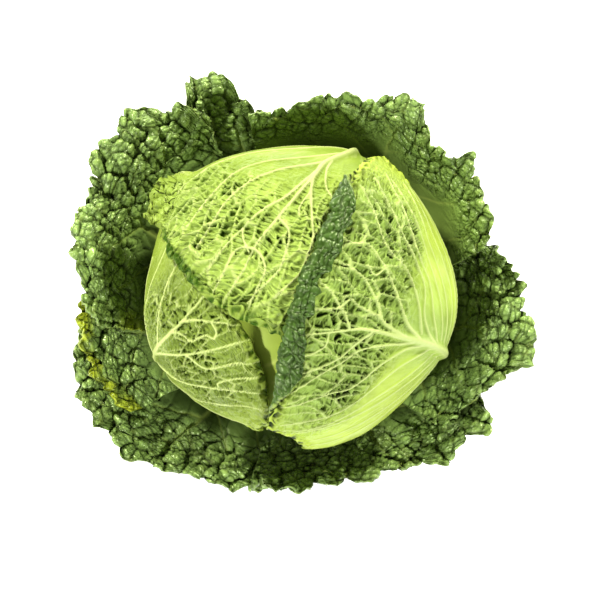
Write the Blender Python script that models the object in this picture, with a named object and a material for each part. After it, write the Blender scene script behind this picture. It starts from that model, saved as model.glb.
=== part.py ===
"""A savoy cabbage with its outer leaves, standing on its cut stalk.

Frame: +Z up, metres. The origin is the centre of the stalk's cut face, on the surface it stands on.
Azimuth 0 is +X and turns towards +Y. Leaves come in three groups, from the middle outwards: the
heart (a tight ball of inner leaves, one solid), the wrapper leaves that close over it, and the
outer leaves that stand open round it. Each leaf is a closed shell over a smooth middle surface.
"""

import bmesh
import bpy
import numpy as np

# The stalk, from its cut face up to the heart.
STALK_RADIUS = 0.0168
STALK_NECK = 0.0150
STALK_TOP = 0.0335
STALK_SIDES = 24
STALK_RINGS = 7
STALK_FOOT_BEVEL = 0.0010
STALK_TOP_BEVEL = 0.0025

# The heart is nearly an ellipsoid round HEAD_CENTRE.
HEAD_CENTRE = np.array([0.0, 0.0, 0.098])
HEART_RADII = np.array([0.079, 0.076, 0.064])
HEART_SEGMENTS = 30
HEART_RINGS = 20
HEART_RIB_HEIGHT = 0.0012
HEART_RIBS = 5
HEART_RIB_TWIST = 3.0
HEAD_SWELL = 0.0018
HEAD_FLATS = 5
HEAD_TWIST = 2.0
HEAD_TURN = 0.6
# The hollow in the heart where the wrapper leaves don't quite meet: azimuth and height in degrees.
HOLLOW_AZIMUTH = 254.0
HOLLOW_ELEVATION = 52.0
HOLLOW_DEPTH = 0.007
HOLLOW_SPREAD = 15.0

# Every leaf: half a blade's thickness, the rib under it, and the blisters between its veins.
HALF_BLADE = 0.0006
RIB_DEPTH = 0.0042
RIB_TIP_DEPTH = 0.0009
RIB_HALF_WIDTH = 0.0065
RIB_TAPER = 0.6
RIB_CLEARANCE = 0.009
SIDE_RIB_DEPTH = 0.0007
WRAPPER_BLISTER = 0.0010
OUTER_BLISTER = 0.0017
NET_STEPS = 3

# Wrapper leaves follow the heart. Angles are in degrees: "up" is measured along the midrib from the
# equator, from the stalk at BASE_UP over the top of the head, and "side" across it.
BASE_UP = -77.0
WIDEST_UP = -22.0
WRAPPER_ROWS = 19
WRAPPER_COLUMNS = 19
WRAPPER_NECK = 0.16
WRAPPER_LIP = 0.0022
LIP_FROM = 0.86
# A wrapper's edge is at "top" on its midrib, and falls by drop * |v|**power towards its sides. Pairs
# are for its right and its left half, seen with the leaf's tip up.
WRAPPERS = {
    "wrapper_leaf_1": dict(azimuth=207, lift=0.0035, top=63, sides=(62, 50), drop=(26, 36), power=(8, 4),
                           lean=-3, lip=(0.0, 0.2)),
    "wrapper_leaf_2": dict(azimuth=66, lift=0.0070, top=117, sides=(46, 72), drop=(13.2, 32.4), power=(2, 2),
                           lean=17, lip=(0.0, 0.6)),
    "wrapper_leaf_3": dict(azimuth=-22, lift=0.0105, top=81, sides=(68, 68), drop=(20, 25), power=(1.35, 8),
                           lean=-12, lip=(1.0, 1.0)),
}

# Outer leaves lie in a nest between two profiles, given as Bezier points (radius, height).
INNER_PROFILE = np.array([(0.0175, 0.0190), (0.052, 0.0170), (0.092, 0.0420), (0.100, 0.0800),
                          (0.098, 0.1180), (0.118, 0.1260), (0.142, 0.1120)])
OUTER_PROFILE = np.array([(0.0175, 0.0072), (0.050, 0.0070), (0.080, 0.0070), (0.108, 0.0200),
                          (0.126, 0.0380), (0.140, 0.0560), (0.156, 0.0560)])
OUTER_ROWS = 17
OUTER_COLUMNS = 17
OUTER_NECK = 19.0
SWELL = 0.0035
SWELL_COUNT = 5
SWELL_TURN = 1.0
RIPPLE = 0.0028
PROFILE_STEPS = 200
# nest: 0 on the inner profile, 1 on the outer. spread: half the leaf's angle. rim: the radius of its
# edge at five places from its right side to its left, as seen from above.
OUTERS = {
    "outer_leaf_1": dict(azimuth=58, nest=0.0, spread=46, rim=(0.112, 0.122, 0.125, 0.115, 0.104), ripples=5),
    "outer_leaf_2": dict(azimuth=153, nest=0.2, spread=37, rim=(0.126, 0.134, 0.128, 0.124, 0.112), ripples=4),
    "outer_leaf_3": dict(azimuth=-8, nest=0.4, spread=33, rim=(0.112, 0.136, 0.138, 0.124, 0.112), ripples=4),
    "outer_leaf_4": dict(azimuth=108, nest=0.4, spread=27, rim=(0.108, 0.126, 0.137, 0.134, 0.120), ripples=3),
    "outer_leaf_5": dict(azimuth=302, nest=0.6, spread=45, rim=(0.104, 0.108, 0.114, 0.130, 0.122), ripples=5),
    "outer_leaf_6": dict(azimuth=189, nest=0.6, spread=25, rim=(0.112, 0.118, 0.124, 0.122, 0.112), ripples=3),
    "outer_leaf_7": dict(azimuth=228, nest=0.8, spread=47, rim=(0.122, 0.132, 0.124, 0.113, 0.106), ripples=5),
    "outer_leaf_8": dict(azimuth=74, nest=0.75, spread=44, rim=(0.104, 0.111, 0.113, 0.109, 0.102), ripples=4),
}


def clear_scene():
    """Removes whatever the scene holds, so that it has only the cabbage."""
    for obj in list(bpy.data.objects):
        bpy.data.objects.remove(obj)


def material(name, colour, roughness):
    """A plain surface of one colour, given as linear red, green and blue."""
    made = bpy.data.materials.new(name)
    made.use_nodes = True
    shader = made.node_tree.nodes["Principled BSDF"]
    shader.inputs["Base Color"].default_value = (*colour, 1)
    shader.inputs["Roughness"].default_value = roughness
    shader.inputs["Metallic"].default_value = 0
    return made


def smoothstep(low, high, x):
    """0 below low, 1 above high, and a smooth rise between."""
    t = np.clip((x - low) / (high - low), 0, 1)
    return t * t * (3 - 2 * t)


def bezier(points, u):
    """The Bezier curve of these points at the parameters u, as an array with one more axis."""
    level = [np.multiply.outer(np.ones_like(u), p) for p in points]
    while len(level) > 1:
        level = [a + (b - a) * u[..., None] for a, b in zip(level, level[1:])]
    return level[0]


def underside_normals(surface):
    """Unit normals of a leaf's grid that point out of its underside, the side away from the heart.

    Rows of the grid run from the stalk to the leaf's edge, and columns run across it, anticlockwise.
    """
    along, across = np.gradient(surface, axis=(0, 1))
    normal = np.cross(across, along)
    return normal / np.linalg.norm(normal, axis=-1, keepdims=True)


def distances(surface, axis):
    """How far each point lies along its row or column of the grid, from the first."""
    steps = np.linalg.norm(np.diff(surface, axis=axis), axis=-1)
    start = np.zeros_like(np.take(steps, [0], axis=axis))
    return np.concatenate([start, np.cumsum(steps, axis=axis)], axis=axis)


def leaf_relief(surface, t, height):
    """(blister height, rib depth): the pucker of both faces, and how far the underside's ribs stand out.

    Every third column is a side rib, and every third row a cross vein, staggered from one pair of ribs
    to the next. The blade rises in a blister between them. The midrib tapers from stalk to tip.
    """
    rows, columns = np.indices(t.shape)
    middle = t.shape[1] // 2
    on_side_rib = (columns - middle) % NET_STEPS == 0
    staggered = rows + (columns - middle) // NET_STEPS
    on_net = on_side_rib | (staggered % NET_STEPS == 0)
    blister = np.where(on_net, -height, height) * smoothstep(0.2, 0.55, t)
    across = distances(surface, 1)
    off_midrib = np.abs(across - across[:, [middle]])
    depth = RIB_TIP_DEPTH + (RIB_DEPTH - RIB_TIP_DEPTH) * (1 - t) ** 2
    width = RIB_HALF_WIDTH * (1 - RIB_TAPER * t)
    midrib = depth * np.exp(-((off_midrib / width) ** 2))
    side_rib = SIDE_RIB_DEPTH * on_side_rib * smoothstep(0.1, 0.3, t)
    off = 1 - np.exp(-((off_midrib / RIB_CLEARANCE) ** 2))
    return blister * off, np.maximum(midrib, side_rib)


def shell_object(name, upper, lower, finish):
    """A closed leaf from two grids of points, row by row. Both faces are split into triangles alike."""
    rows, columns = upper.shape[:2]
    index = np.arange(rows * columns).reshape(rows, columns)
    a, b, c, d = index[:-1, :-1], index[1:, :-1], index[1:, 1:], index[:-1, 1:]
    even = (np.indices(a.shape).sum(0) % 2 == 0)[..., None]
    first = np.where(even, np.stack([a, b, c], -1), np.stack([a, b, d], -1)).reshape(-1, 3)
    second = np.where(even, np.stack([a, c, d], -1), np.stack([b, c, d], -1)).reshape(-1, 3)
    top = np.concatenate([first, second])
    under = top[:, ::-1] + rows * columns
    loop = np.concatenate([index[:, 0], index[-1, 1:], index[-2::-1, -1], index[0, -2:0:-1]])
    after = np.roll(loop, -1)
    edge = np.stack([loop, loop + rows * columns, after + rows * columns, after], -1)
    points = np.concatenate([upper.reshape(-1, 3), lower.reshape(-1, 3)])
    mesh = bpy.data.meshes.new(name)
    mesh.from_pydata(points.tolist(), [], top.tolist() + under.tolist() + edge.tolist())
    return finished_object(name, mesh, finish)


def finished_object(name, mesh, finish, smooth=False):
    """Puts the mesh in the scene with its faces pointing out and its material on.

    The leaves stay flat shaded, which shows their blisters: each is only two grid steps across.
    """
    built = bmesh.new()
    built.from_mesh(mesh)
    bmesh.ops.triangulate(built, faces=built.faces)
    bmesh.ops.recalc_face_normals(built, faces=built.faces)
    built.to_mesh(mesh)
    built.free()
    mesh.materials.append(finish)
    if smooth:
        mesh.shade_smooth()
    obj = bpy.data.objects.new(name, mesh)
    cabbage.objects.link(obj)
    return obj


def grid(rows, columns):
    """(t, v): t from 0 at the leaf's base to 1 at its edge, v from -1 on its right to 1 on its left."""
    return np.meshgrid(np.linspace(0, 1, rows), np.linspace(-1, 1, columns), indexing="ij")


def head_swell(direction):
    """How far the head bulges past its ellipsoid in each direction, the same for every leaf of it."""
    azimuth = np.arctan2(direction[..., 1], direction[..., 0])
    level = np.hypot(direction[..., 0], direction[..., 1])
    return HEAD_SWELL * level**2 * np.cos(HEAD_FLATS * azimuth + HEAD_TWIST * direction[..., 2] + HEAD_TURN)


def wrapper_surface(leaf, t, v):
    """The middle surface of a wrapper leaf: great circles of the head, across a midrib that leans aside."""
    side, drop, power = (np.where(v > 0, leaf[key][1], leaf[key][0]) for key in ("sides", "drop", "power"))
    top = leaf["top"] - drop * np.abs(v) ** power
    up = BASE_UP + (top - BASE_UP) * t
    widening = WRAPPER_NECK + (1 - WRAPPER_NECK) * smoothstep(BASE_UP, WIDEST_UP, up)
    lean = leaf["lean"] * np.sin(np.radians(np.clip(up, 0, 180))) ** 2
    across = np.radians(v * side * widening + lean * (1 - np.abs(v)))
    up = np.radians(up)
    azimuth = np.radians(leaf["azimuth"])
    outward = np.array([np.cos(azimuth), np.sin(azimuth), 0])
    sideways = np.array([-np.sin(azimuth), np.cos(azimuth), 0])
    vertical = np.array([0, 0, 1.0])
    circle = np.multiply.outer(np.cos(up), outward) + np.multiply.outer(np.sin(up), vertical)
    direction = np.cos(across)[..., None] * circle + np.multiply.outer(np.sin(across), sideways)
    lip = np.interp(v, (-0.3, 0.3), leaf["lip"]) * WRAPPER_LIP * smoothstep(LIP_FROM, 1, t)
    out = leaf["lift"] + lip + head_swell(direction)
    return HEAD_CENTRE + direction * (HEART_RADII + out[..., None])


def wrapper_leaf(name, leaf, finish):
    """A wrapper leaf shows its ribbed underside, so ribs and blisters stand outwards from the head."""
    t, v = grid(WRAPPER_ROWS, WRAPPER_COLUMNS)
    surface = wrapper_surface(leaf, t, v)
    normals = underside_normals(surface)
    blister, ribs = leaf_relief(surface, t, WRAPPER_BLISTER)
    outer = HALF_BLADE + np.maximum(ribs, np.maximum(-blister, 0))
    inner = np.full_like(outer, HALF_BLADE)
    outside = surface + normals * outer[..., None]
    inside = surface - normals * inner[..., None]
    return shell_object(name, outside, inside, finish)


def outer_surface(leaf, t, v):
    """The middle surface of an outer leaf: a meridian of the nest turned through the leaf's spread.

    The radius that the rim has at each v, as seen from above, says how far along the profile it ends.
    """
    profile = INNER_PROFILE + (OUTER_PROFILE - INNER_PROFILE) * leaf["nest"]
    steps = np.linspace(0, 1, PROFILE_STEPS)
    rim = np.interp(v, np.linspace(-1, 1, len(leaf["rim"])), leaf["rim"])
    end = np.interp(rim, bezier(profile, steps)[:, 0], steps)
    u = end * t
    radius, height = np.moveaxis(bezier(profile, u), -1, 0)
    widening = OUTER_NECK + (leaf["spread"] - OUTER_NECK) * smoothstep(0.10, 0.48, u)
    azimuth = np.radians(leaf["azimuth"] + v * widening)
    swell = SWELL * u**2 * np.cos(SWELL_COUNT * azimuth + SWELL_TURN)
    ripple = RIPPLE * t**4 * np.cos(np.pi * leaf["ripples"] * v)
    height = height + swell + ripple
    return np.stack([radius * np.cos(azimuth), radius * np.sin(azimuth), height], -1)


def outer_leaf(name, leaf, finish):
    """An outer leaf shows its blistered upper face, and its ribs stand out underneath."""
    t, v = grid(OUTER_ROWS, OUTER_COLUMNS)
    surface = outer_surface(leaf, t, v)
    normals = underside_normals(surface)
    blister, ribs = leaf_relief(surface, t, OUTER_BLISTER)
    upper = surface - normals * (HALF_BLADE + blister)[..., None]
    lower = surface + normals * (HALF_BLADE + ribs - blister)[..., None]
    return shell_object(name, upper, lower, finish)


def heart(finish):
    """The ball of inner leaves: a sphere scaled to the heart, with ribs from the stalk over its top."""
    made = bmesh.new()
    bmesh.ops.create_uvsphere(made, u_segments=HEART_SEGMENTS, v_segments=HEART_RINGS, radius=1)
    mesh = bpy.data.meshes.new("heart")
    made.to_mesh(mesh)
    made.free()
    unit = np.empty(len(mesh.vertices) * 3)
    mesh.vertices.foreach_get("co", unit)
    unit = unit.reshape(-1, 3)
    azimuth = np.arctan2(unit[:, 1], unit[:, 0])
    level = np.hypot(unit[:, 0], unit[:, 1])
    ribs = HEART_RIB_HEIGHT * level * np.cos(HEART_RIBS * azimuth + HEART_RIB_TWIST * unit[:, 2])
    toward = np.radians([HOLLOW_AZIMUTH, HOLLOW_ELEVATION])
    hollow = np.array([np.cos(toward[1]) * np.cos(toward[0]), np.cos(toward[1]) * np.sin(toward[0]),
                       np.sin(toward[1])])
    off_hollow = np.degrees(np.arccos(np.clip(unit @ hollow, -1, 1)))
    dip = HOLLOW_DEPTH * np.exp(-((off_hollow / HOLLOW_SPREAD) ** 2))
    out = ribs - HEART_RIB_HEIGHT - dip + head_swell(unit)
    points = HEAD_CENTRE + unit * (HEART_RADII + out[:, None])
    mesh.vertices.foreach_set("co", points.ravel())
    return finished_object("heart", mesh, finish, smooth=True)


def stalk(finish):
    """The cut stalk: a turned stub with a flat foot, a little waisted where the leaves were cut off."""
    heights = np.linspace(0, STALK_TOP, STALK_RINGS)
    share = heights / STALK_TOP
    radii = STALK_RADIUS + (STALK_NECK - STALK_RADIUS) * share
    radii[0] -= STALK_FOOT_BEVEL
    radii[-1] -= STALK_TOP_BEVEL
    mesh = bpy.data.meshes.new("stalk")
    built = bmesh.new()
    rings = []
    turns = np.linspace(0, 2 * np.pi, STALK_SIDES, endpoint=False)
    for height, radius in zip(heights, radii):
        rings.append([built.verts.new((radius * np.cos(a), radius * np.sin(a), height)) for a in turns])
    for low, high in zip(rings, rings[1:]):
        for i in range(STALK_SIDES):
            j = (i + 1) % STALK_SIDES
            built.faces.new((low[i], low[j], high[j], high[i]))
    built.faces.new(rings[0][::-1])
    built.faces.new(rings[-1])
    built.to_mesh(mesh)
    built.free()
    return finished_object("stalk", mesh, finish)


clear_scene()
cabbage = bpy.data.collections.new("savoy_cabbage")
bpy.context.scene.collection.children.link(cabbage)

pale_stalk = material("cut_stalk", (0.55, 0.62, 0.28), 0.6)
heart_green = material("heart_leaf", (0.33, 0.43, 0.07), 0.5)
wrapper_green = material("wrapper_leaf", (0.45, 0.56, 0.14), 0.45)
outer_green = material("outer_leaf", (0.10, 0.18, 0.04), 0.5)

stalk(pale_stalk)
heart(heart_green)
for leaf_name, leaf_shape in WRAPPERS.items():
    wrapper_leaf(leaf_name, leaf_shape, wrapper_green)
for leaf_name, leaf_shape in OUTERS.items():
    outer_leaf(leaf_name, leaf_shape, outer_green)
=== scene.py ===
# %% [markdown]
# # A savoy cabbage, leaf by leaf
# A savoy cabbage is a ball of leaves wrapped round each other, with a few open leaves round it. Every
# leaf is a thin blade with a thick midrib, side ribs that fork from it, and a net of fine veins. The
# blade grows faster than its veins, so it puckers up between them into blisters. From above a blister
# is a shiny dome, and from below it is a hollow with pale veins standing round it.
#
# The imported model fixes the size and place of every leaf. This script keeps those forms and makes each
# leaf again on a much finer grid, where blisters, veins and frilled edges have room.

import bpy
import numpy as np
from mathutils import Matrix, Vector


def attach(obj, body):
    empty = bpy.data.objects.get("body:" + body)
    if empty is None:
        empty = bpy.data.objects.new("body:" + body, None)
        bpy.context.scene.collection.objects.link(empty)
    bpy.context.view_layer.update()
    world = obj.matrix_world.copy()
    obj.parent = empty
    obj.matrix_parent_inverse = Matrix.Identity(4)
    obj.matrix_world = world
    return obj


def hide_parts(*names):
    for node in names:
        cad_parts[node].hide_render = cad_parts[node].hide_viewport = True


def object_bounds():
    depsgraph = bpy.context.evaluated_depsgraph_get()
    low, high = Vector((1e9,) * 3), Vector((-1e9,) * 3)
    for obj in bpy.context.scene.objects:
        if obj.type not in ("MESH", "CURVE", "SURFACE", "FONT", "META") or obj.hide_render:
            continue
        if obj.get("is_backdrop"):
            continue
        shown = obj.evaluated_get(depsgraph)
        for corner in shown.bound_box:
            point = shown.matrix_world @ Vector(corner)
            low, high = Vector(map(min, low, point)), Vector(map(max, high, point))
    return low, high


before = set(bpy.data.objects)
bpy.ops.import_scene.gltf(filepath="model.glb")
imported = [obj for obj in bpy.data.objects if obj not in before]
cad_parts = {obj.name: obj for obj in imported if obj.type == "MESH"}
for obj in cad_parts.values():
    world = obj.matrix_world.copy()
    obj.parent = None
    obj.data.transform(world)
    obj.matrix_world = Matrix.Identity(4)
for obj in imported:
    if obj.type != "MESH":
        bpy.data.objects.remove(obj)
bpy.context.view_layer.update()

# %% [markdown]
# ## Tools for shaping
# All lengths are in metres in the mesh, but patterns on a leaf are easier to think of in millimetres,
# so the pattern functions take and give millimetres. Each works on whole arrays at once. Five small
# functions give nearly every shape here: a smooth step, a ridge, a dome, smooth random hills, and a
# labyrinth of winding folds. LATTICE is how many random squares a pattern has before it repeats.

# %% Steps, ridges, domes and hills
MM = 0.001
LATTICE = 64


def smoothstep(low, high, x):
    """0 below low, 1 above high, and 3s^2 - 2s^3 between, where s is the share of the way."""
    s = np.clip((x - low) / (high - low), 0, 1)
    return s * s * (3 - 2 * s)


def ridge(distance, half_width):
    """A bell, exp(-(d/w)^2): 1 on the line and nearly 0 two half widths away."""
    return np.exp(-((distance / half_width) ** 2))


def dome(distance, reach):
    """A quarter circle: 0 on the line, rising steeply and levelling out at 1 where d is the reach."""
    q = np.clip(distance / reach, 0, 1)
    return np.sqrt(q * (2 - q))


def noise(x, y, size, seed):
    """Smooth hills from -1 to 1: random heights on the corners of a square net, blended in between."""
    table = np.random.default_rng(seed).random((LATTICE, LATTICE))
    i, j = np.floor(x / size).astype(int), np.floor(y / size).astype(int)
    a, b = smoothstep(0, 1, x / size - i), smoothstep(0, 1, y / size - j)

    def corner(right, up):
        return table[(i + right) % LATTICE, (j + up) % LATTICE]

    low = corner(0, 0) * (1 - a) + corner(1, 0) * a
    high = corner(0, 1) * (1 - a) + corner(1, 1) * a
    return 2 * (low * (1 - b) + high * b) - 1


def labyrinth(x, y, size, seed):
    """Winding folds from 0 to 1: crests run where smooth hills pass through zero, valleys lie between."""
    return 1 - np.minimum(np.abs(noise(x, y, size, seed)) * 2.2, 1)


# %% [markdown]
# ## Cells
# The net of fine veins divides the blade into cells, like cracks in mud. A Voronoi pattern does the
# same: one seed at random in each square of a net, and every point belongs to its nearest seed. The
# useful number is the distance to the line between two cells, because veins run along that line and
# blisters rise away from it.


# %% A net of cells
def cells(x, y, size, seed):
    """(distance to the net, a number from 0 to 1 for each cell), for cells about size mm across.

    The first pass finds each point's own seed. The second measures to the line halfway between that
    seed and each other one, along the direction that joins them, and keeps the shortest.
    """
    table = np.random.default_rng(seed).random((LATTICE, LATTICE, 3))
    x, y = x / size, y / size
    i, j = np.floor(x).astype(int), np.floor(y).astype(int)

    def seed_in(right, up):
        entry = table[(i + right) % LATTICE, (j + up) % LATTICE]
        across, along = 0.1 + 0.8 * entry[..., 0], 0.1 + 0.8 * entry[..., 1]
        return np.stack([i + right + across, j + up + along, entry[..., 2]])

    nearest = np.full(x.shape, np.inf)
    own = np.zeros((3, *x.shape))
    for right, up in np.ndindex(3, 3):
        other = seed_in(right - 1, up - 1)
        gap = (other[0] - x) ** 2 + (other[1] - y) ** 2
        own = np.where(gap < nearest, other, own)
        nearest = np.minimum(gap, nearest)
    line = np.full(x.shape, np.inf)
    for right, up in np.ndindex(5, 5):
        other = seed_in(right - 2, up - 2)
        along = other[:2] - own[:2]
        length = np.hypot(*along)
        halfway = ((own[:2] + other[:2]) / 2 - np.stack([x, y])) * along
        distance = halfway.sum(0) / np.maximum(length, 1e-6)
        line = np.where(length > 1e-6, np.minimum(line, distance), line)
    return line * size, own[2]


# %% [markdown]
# ## Veins
# The large veins are what the eye follows, so each is a line of a few chosen points that a smooth
# curve joins. A vein has a half width in mm at its start and at its end, and it stands out of the
# underside by about half its width. It looks pale over a little less than its width, but never over
# less than NARROWEST, or it would be too fine to see. Where two veins meet, the larger value wins,
# which forks them cleanly.


# %% Vein lines
VEIN_RISE = 0.75
PALE_WIDTH = 0.72
NARROWEST = 0.62


def smooth_line(points, steps=6):
    """A Catmull-Rom curve: at a point it runs along the chord between that point's two neighbours."""
    p = np.asarray(points, float)
    p = np.vstack([2 * p[0] - p[1], p, 2 * p[-1] - p[-2]])
    s = np.linspace(0, 1, steps, endpoint=False)[:, None, None]
    a, b, c, d = p[:-3], p[1:-2], p[2:-1], p[3:]
    square, cube = 2 * a - 5 * b + 4 * c - d, 3 * b - a - 3 * c + d
    curve = 0.5 * (2 * b + (c - a) * s + square * s**2 + cube * s**3)
    return np.vstack([curve.transpose(1, 0, 2).reshape(-1, 2), p[-2]])


def vein_field(x, y, veins):
    """(height in mm, share) of the veins at each point: the largest bell of any stretch of any vein."""
    height, share = np.zeros(x.shape), np.zeros(x.shape)
    for start, end, points in veins:
        line = smooth_line(points)
        widths = end + (start - end) * np.linspace(1, 0, len(line)) ** 2
        for (ax, ay), (bx, by), width in zip(line, line[1:], widths):
            long = max((bx - ax) ** 2 + (by - ay) ** 2, 1e-9)
            s = np.clip(((x - ax) * (bx - ax) + (y - ay) * (by - ay)) / long, 0, 1)
            distance = np.hypot(x - ax - s * (bx - ax), y - ay - s * (by - ay))
            height = np.maximum(height, ridge(distance, width) * width * VEIN_RISE)
            share = np.maximum(share, ridge(distance, max(PALE_WIDTH * width, NARROWEST)))
    return height, share


# %% [markdown]
# ## From grids to closed pieces
# A leaf is a grid of points with rows from stalk to edge. Its smooth middle surface is pushed out both
# ways along its own normals, so the two faces never cross. The face that shows needs every point. The
# other one hides against the next leaf or looks away, so it keeps only some rows and columns, and the
# triangles that this saves go to the face that shows. Every piece then gets its tones: numbers from 0
# to 1 at each point, worked out with the shape, by which its finish mixes colours.


# %% Grids, normals and closed pieces
def graded(count, zones):
    """count numbers from 0 to 1. zones are (start, spacing): past start they lie that far apart."""
    starts, spacings = np.transpose(zones)
    ends = np.append(starts[1:], 1)
    steps = np.concatenate([[0], np.cumsum((ends - starts) / spacings)])
    return np.interp(np.linspace(0, steps[-1], count), steps, np.append(starts, 1))


def underside_normals(surface):
    """Unit normals out of a leaf's underside: across x along the grid, scaled to length 1."""
    along, across = np.gradient(surface, axis=(0, 1))
    normal = np.cross(across, along)
    return normal / np.maximum(np.linalg.norm(normal, axis=-1, keepdims=True), 1e-12)


def border(index):
    """The grid's outermost points, once round: up the first column and back down the last."""
    return np.concatenate([index[:-1, 0], index[-1, :-1], index[:0:-1, -1], index[0, :0:-1]])


def kept(count, every, fine_from=None):
    """Which rows a coarse face keeps: every nth and the last, and all of them past fine_from."""
    rows = np.arange(count)
    fine = rows >= (count if fine_from is None else fine_from)
    return np.flatnonzero(fine | (rows % every == 0) | (rows == count - 1))


def make_piece(name, points, faces, tones, finish):
    """A mesh object from points and faces, with a number of each tone at every point."""
    mesh = bpy.data.meshes.new(name)
    mesh.from_pydata(points, [], faces)
    for tone, values in tones.items():
        mesh.attributes.new(tone, "FLOAT", "POINT").data.foreach_set("value", values)
    mesh.shade_smooth()
    mesh.materials.append(finish)
    piece = bpy.data.objects.new(name, mesh)
    bpy.context.scene.collection.objects.link(piece)
    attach(piece, "root")
    print(f"{name}: {sum(len(face) - 2 for face in faces)} triangles")
    return piece


def leaf_object(name, upper, lower, tones, chart, rows, columns, coarse, finish):
    """A closed leaf from the grids of its two faces.

    tones are {name: (grid for the upper face, grid for the lower face)}. chart is the leaf spread
    flat, as two grids of mm, and goes along as an attribute for the finish. coarse says which face,
    0 the upper or 1 the lower, keeps only the listed rows and columns. The rim is a fan of triangles
    from each kept border point to the fine border points it stands for.
    """
    cut = np.ix_(rows, columns)
    pick = [lambda a: a, lambda a: a]
    pick[coarse] = lambda a: a[cut]
    grids = [pick[0](upper), pick[1](lower)]
    sizes = [grid.shape[0] * grid.shape[1] for grid in grids]
    indices = [np.arange(sizes[0]).reshape(grids[0].shape[:2]),
               sizes[0] + np.arange(sizes[1]).reshape(grids[1].shape[:2])]
    faces = []
    for index, order in zip(indices, (1, -1)):
        quads = np.stack([index[:-1, :-1], index[1:, :-1], index[1:, 1:], index[:-1, 1:]], -1)
        faces += quads.reshape(-1, 4)[:, ::order].tolist()

    fine_loop, coarse_loop = border(indices[1 - coarse]), border(indices[coarse])
    places = border(np.arange(upper.shape[0] * upper.shape[1]).reshape(upper.shape[:2]))
    marked = np.zeros(upper.shape[:2], bool)
    marked[cut] = True
    shared = marked.ravel()[places]
    parent = np.cumsum(shared) - 1
    starts = np.flatnonzero(shared)
    fans = np.stack([np.roll(fine_loop, -1), fine_loop, coarse_loop[parent]], -1)
    ends = np.stack([fine_loop[np.roll(starts, -1)], coarse_loop, np.roll(coarse_loop, -1)], -1)
    order = 1 if coarse else -1
    faces += fans[:, ::order].tolist() + ends[:, ::order].tolist()

    points = np.vstack([grid.reshape(-1, 3) for grid in grids])
    values = {tone: np.hstack([np.ravel(pick[0](above)), np.ravel(pick[1](beneath))])
              for tone, (above, beneath) in tones.items()}
    piece = make_piece(name, points, faces, values, finish)
    flat = np.stack([*chart, np.zeros(upper.shape[:2])], -1)
    places = np.vstack([pick[0](flat).reshape(-1, 3), pick[1](flat).reshape(-1, 3)])
    piece.data.attributes.new("chart", "FLOAT_VECTOR", "POINT").data.foreach_set("vector", places.ravel())
    return piece


# %% [markdown]
# ## Finish: the waxy leaf
# Cabbage leaves carry a thin wax bloom over a wet, soft skin. To the eye that is a satin surface with
# many small glints, and a blade whose green goes from blue-green where the sun reached it to yellow
# inside the head. Veins hold little chlorophyll and are pale. One material does all this, and mixes
# its colours by the leaf's five tones: pale veins, which on the outer leaves also carry a painted
# highlight on the beads' tops; painted shade, in creases, pockets, fold valleys and on the outer leaves'
# bases under the head; blush (yellow, young tissue); underside (the paler lower face); and pucker (how
# strongly the finest puckers stand out). The finest puckers are too small for the mesh, so they are
# drawn as bump, from cells in the leaf's own chart.


# %% Nodes and colours
def srgb(code):
    """A hex colour as the linear red, green and blue that shaders use, with alpha 1."""
    share = np.array([int(code[i : i + 2], 16) for i in (1, 3, 5)]) / 255
    return (*np.where(share > 0.04045, ((share + 0.055) / 1.055) ** 2.4, share / 12.92), 1)


def add_node(tree, kind, links=(), **settings):
    """Adds a node. settings are its own options or its inputs by name. links are (input, source).

    A source is another node's socket, or a hex colour that the input is set to.
    """
    node = tree.nodes.new(kind)
    for name, value in settings.items():
        if hasattr(node, name):
            setattr(node, name, value)
        else:
            node.inputs[name.replace("_", " ")].default_value = value
    for name, source in links:
        if isinstance(source, str):
            node.inputs[name].default_value = srgb(source)
        else:
            tree.links.new(source, node.inputs[name])
    return node


# %% The leaf material
PATCH_MM = 16.7
GRAIN_MM = 0.555
WAX_TINT = "#DCEBB0"
LEAF_IOR = 1.40
TONES = ("vein", "hollow", "blush", "underside", "pucker")


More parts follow.
